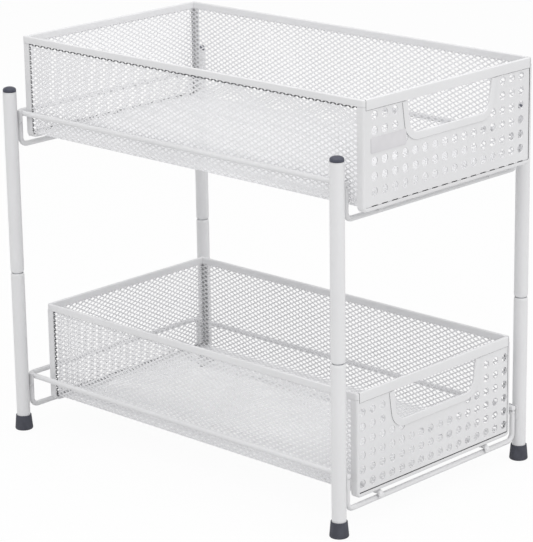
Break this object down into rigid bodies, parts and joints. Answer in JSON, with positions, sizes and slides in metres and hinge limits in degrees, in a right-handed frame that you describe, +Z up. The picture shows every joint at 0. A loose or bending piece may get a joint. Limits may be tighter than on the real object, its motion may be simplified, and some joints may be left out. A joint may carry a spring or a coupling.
{
  "type": "two-tier sliding basket organizer",
  "caption": "Two-tier open organizer: a tube frame with wire cradles carries two mesh baskets that slide forward by handle cut-outs.",
  "frame": {"origin": "on the floor, under the middle of the whole object's box", "axes": "+Z up; -Y is the front, where the perforated panels with the handle cut-outs are; +X is right seen from the front"},
  "size_m": [0.2694, 0.4392, 0.3877],
  "materials": {
    "white_coat": "satin powder coat",
    "white_mesh": "satin powder coat on expanded metal",
    "bare_steel": "plain",
    "dark_plastic": "fine matte",
    "dark_rubber": "matte"
  },
  "bodies": {
    "frame": {"lower_leg_front_left": "white_coat", "upper_leg_front_left": "white_coat", "leg_sleeve_front_left": "bare_steel", "leg_cap_front_left": "dark_plastic", "foot_front_left": "dark_rubber", "lower_leg_front_right": "white_coat", "upper_leg_front_right": "white_coat", "leg_sleeve_front_right": "bare_steel", "leg_cap_front_right": "dark_plastic", "foot_front_right": "dark_rubber", "lower_leg_rear_left": "white_coat", "upper_leg_rear_left": "white_coat", "leg_sleeve_rear_left": "bare_steel", "leg_cap_rear_left": "dark_plastic", "foot_rear_left": "dark_rubber", "lower_leg_rear_right": "white_coat", "upper_leg_rear_right": "white_coat", "leg_sleeve_rear_right": "bare_steel", "leg_cap_rear_right": "dark_plastic", "foot_rear_right": "dark_rubber", "lower_guide_ring": "white_coat", "lower_front_cross_wire": "white_coat", "lower_rear_cross_wire": "white_coat", "lower_runner_left": "white_coat", "lower_runner_right": "white_coat", "lower_bracket_front_left": "white_coat", "lower_bracket_front_right": "white_coat", "lower_bracket_rear_left": "white_coat", "lower_bracket_rear_right": "white_coat", "upper_guide_ring": "white_coat", "upper_front_cross_wire": "white_coat", "upper_rear_cross_wire": "white_coat", "upper_runner_left": "white_coat", "upper_runner_right": "white_coat", "upper_bracket_front_left": "white_coat", "upper_bracket_front_right": "white_coat", "upper_bracket_rear_left": "white_coat", "upper_bracket_rear_right": "white_coat"},
    "lower_basket": {"lower_basket_rim": "white_coat", "lower_basket_front_frame": "white_coat", "lower_basket_back_frame": "white_coat", "lower_basket_left_mesh": "white_mesh", "lower_basket_right_mesh": "white_mesh", "lower_basket_floor_mesh": "white_mesh", "lower_basket_back_mesh": "white_mesh", "lower_basket_front_panel": "white_coat", "lower_basket_handle_trim": "white_coat"},
    "upper_basket": {"upper_basket_rim": "white_coat", "upper_basket_front_frame": "white_coat", "upper_basket_back_frame": "white_coat", "upper_basket_left_mesh": "white_mesh", "upper_basket_right_mesh": "white_mesh", "upper_basket_floor_mesh": "white_mesh", "upper_basket_back_mesh": "white_mesh", "upper_basket_front_panel": "white_coat", "upper_basket_handle_trim": "white_coat"}
  },
  "joints": [
    {"name": "lower_basket_slide", "type": "slide", "parent": "frame", "child": "lower_basket", "axis": [0, -1, 0], "range_m": [0, 0.22]},
    {"name": "upper_basket_slide", "type": "slide", "parent": "frame", "child": "upper_basket", "axis": [0, -1, 0], "range_m": [0, 0.22]}
  ]
}
